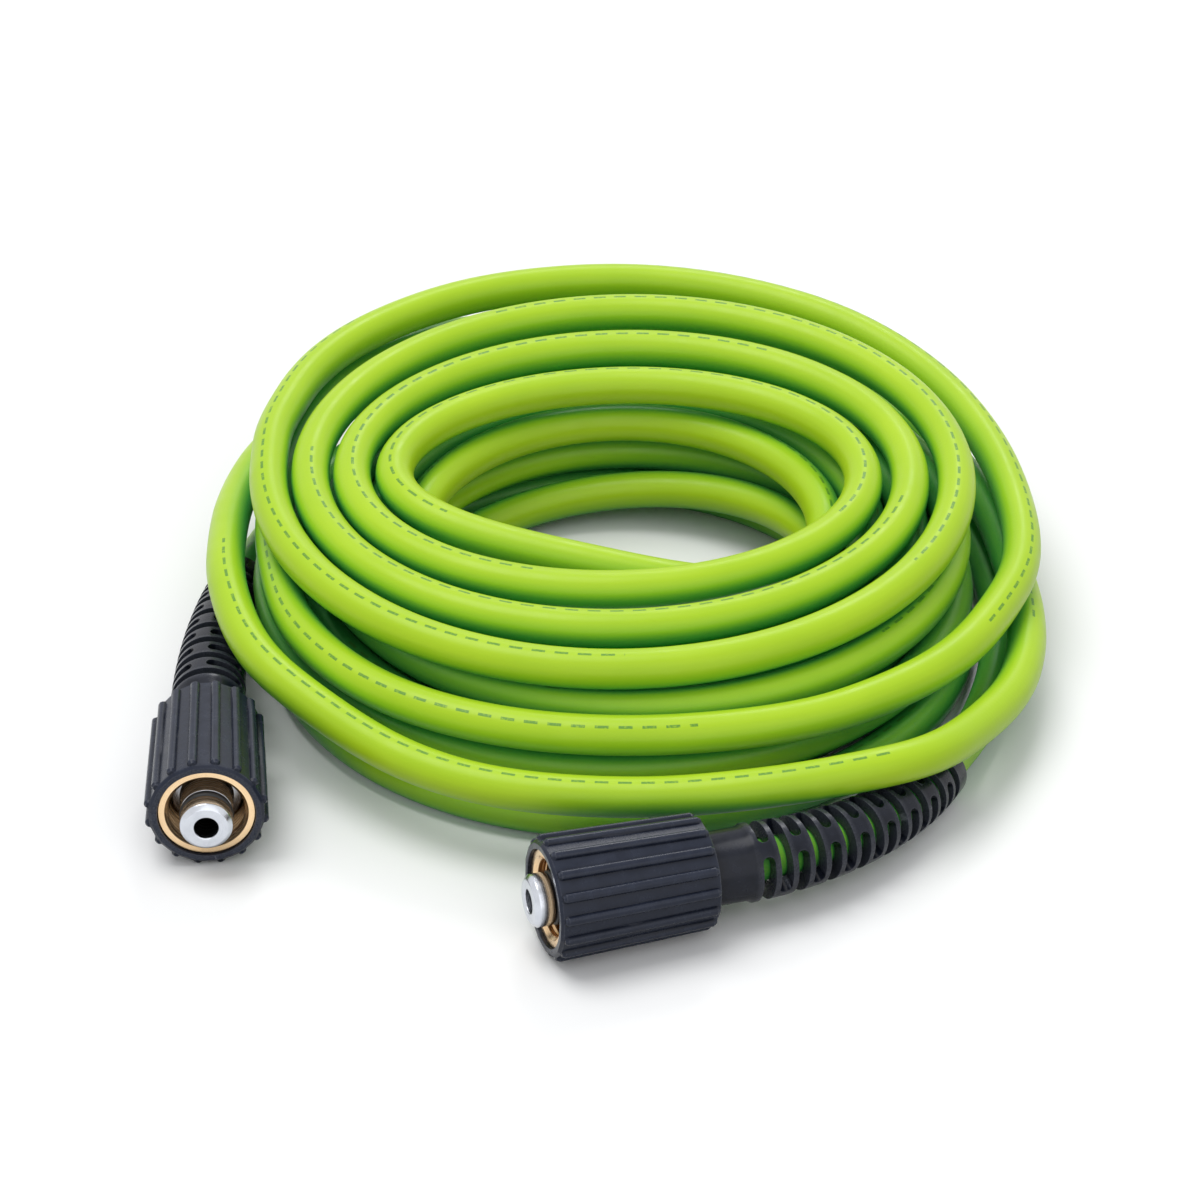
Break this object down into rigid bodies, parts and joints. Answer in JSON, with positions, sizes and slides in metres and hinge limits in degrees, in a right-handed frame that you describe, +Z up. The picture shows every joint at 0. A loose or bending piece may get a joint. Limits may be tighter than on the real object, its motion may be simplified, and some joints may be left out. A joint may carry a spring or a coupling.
{
  "type": "high-pressure hose",
  "caption": "Flexible high-pressure hose laid in a mounded coil, with a sliding, swivelling threaded coupling, grip sleeve and slotted bend restrictor at each end.",
  "frame": {"origin": "middle of the base of the whole object, on the floor it lies on", "axes": "+Z up; -Y is the side that the couplings point to; the left coupling is at -X"},
  "size_m": [0.2476, 0.3084, 0.0499],
  "materials": {
    "hose_cover": "satin smooth",
    "black_plastic": "fine matt texture",
    "brass": "turned",
    "zinc_steel": "bright zinc plate",
    "o_ring_rubber": "smooth",
    "braid": "braided",
    "inner_tube": "smooth"
  },
  "bodies": {
    "hose": {"hose_coil": "hose_cover", "left_hose_lead": "hose_cover", "right_hose_lead": "hose_cover", "left_nipple": "zinc_steel", "left_o_ring": "o_ring_rubber", "left_ferrule": "zinc_steel", "left_bend_restrictor": "black_plastic", "left_hose_cover_end": "hose_cover", "left_braid_end": "braid", "left_inner_tube_end": "inner_tube", "right_nipple": "zinc_steel", "right_o_ring": "o_ring_rubber", "right_ferrule": "zinc_steel", "right_bend_restrictor": "black_plastic", "right_hose_cover_end": "hose_cover", "right_braid_end": "braid", "right_inner_tube_end": "inner_tube"},
    "left_washer": {"left_slip_washer": "zinc_steel"},
    "left_nut": {"left_thread_nut": "brass", "left_grip_sleeve": "black_plastic"},
    "right_washer": {"right_slip_washer": "zinc_steel"},
    "right_nut": {"right_thread_nut": "brass", "right_grip_sleeve": "black_plastic"}
  },
  "joints": [
    {"name": "left_nut_slide", "type": "slide", "parent": "hose", "child": "left_washer", "axis": [0.0697, -0.9971, 0.0296], "range_m": [0, 0.0065]},
    {"name": "left_nut_spin", "type": "hinge", "parent": "left_washer", "child": "left_nut", "pos_m": [-0.10666, -0.0885, 0.016], "axis": [0.0697, -0.9971, 0.0296], "continuous": true},
    {"name": "right_nut_slide", "type": "slide", "parent": "hose", "child": "right_washer", "axis": [-0.9451, -0.3254, 0.0296], "range_m": [-0.0026, 0.0039]},
    {"name": "right_nut_spin", "type": "hinge", "parent": "right_washer", "child": "right_nut", "pos_m": [-0.00137, -0.13403, 0.016], "axis": [-0.9451, -0.3254, 0.0296], "continuous": true}
  ]
}
